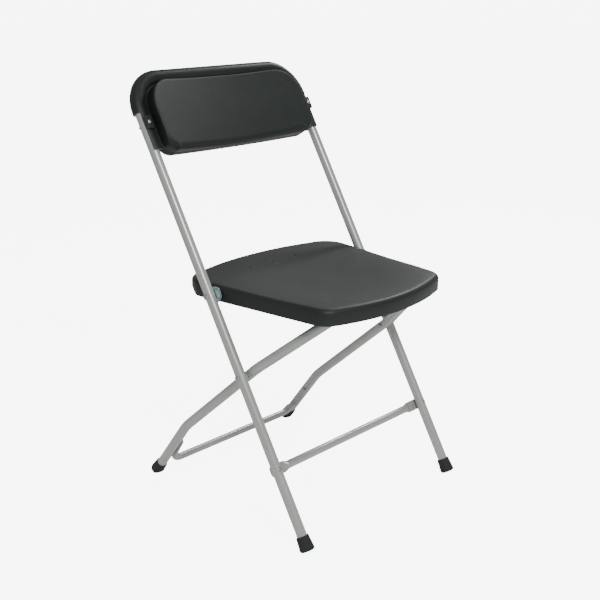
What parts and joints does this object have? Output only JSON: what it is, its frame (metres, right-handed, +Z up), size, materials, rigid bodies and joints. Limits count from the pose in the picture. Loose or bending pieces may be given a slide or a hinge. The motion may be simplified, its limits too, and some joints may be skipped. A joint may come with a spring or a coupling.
{
  "type": "folding chair",
  "caption": "Folding chair with a bent silver tube frame, crossed rear legs, a dished charcoal moulded seat and a curved two-part moulded backrest.",
  "frame": {"origin": "on the floor, under the middle of the object's box", "axes": "+Z up, +X across the chair towards the sitter's left, the chair faces -Y"},
  "size_m": [0.45, 0.493, 0.8013],
  "materials": {
    "frame_paint": "satin silver-grey powder coat",
    "charcoal_plastic": "fine moulded grain",
    "foot_rubber": "matt",
    "zinc_plate": "blue passivated zinc",
    "pivot_nylon": "matt",
    "bright_steel": "bright",
    "painted_rivet": "satin"
  },
  "bodies": {
    "front_frame": {"front_frame_tube": "frame_paint", "front_stretcher": "frame_paint", "front_stretcher_rivets": "painted_rivet", "front_foot_left": "foot_rubber", "front_foot_right": "foot_rubber", "back_front_panel": "charcoal_plastic", "back_rear_shell": "charcoal_plastic", "back_rivets": "bright_steel", "seat_pivot_rivets": "painted_rivet", "cross_pivot_rivets": "painted_rivet", "cross_pivot_spacer_left": "pivot_nylon", "cross_pivot_spacer_right": "pivot_nylon"},
    "rear_legs": {"rear_leg_frame": "frame_paint", "rear_stretcher": "frame_paint", "rear_foot_left": "foot_rubber", "rear_foot_right": "foot_rubber"},
    "seat": {"seat_shell": "charcoal_plastic", "seat_bracket_left": "zinc_plate", "seat_bracket_right": "zinc_plate", "seat_pivot_spacer_left": "zinc_plate", "seat_pivot_spacer_right": "zinc_plate", "crossbar_saddle_left": "charcoal_plastic", "crossbar_saddle_right": "charcoal_plastic", "seat_screws": "bright_steel"}
  },
  "joints": [
    {"name": "seat_fold", "type": "hinge", "parent": "front_frame", "child": "seat", "pos_m": [0, 0.02253, 0.42], "axis": [-1, 0, 0], "range_deg": [0, 119]},
    {"name": "rear_leg_fold", "type": "hinge", "parent": "front_frame", "child": "rear_legs", "pos_m": [0, -0.05524, 0.28419], "axis": [-1, 0, 0], "range_deg": [0, 67.3]}
  ],
  "couplings": [
    {"joint": "rear_leg_fold", "follows": "seat_fold", "ratio": 0.565}
  ]
}
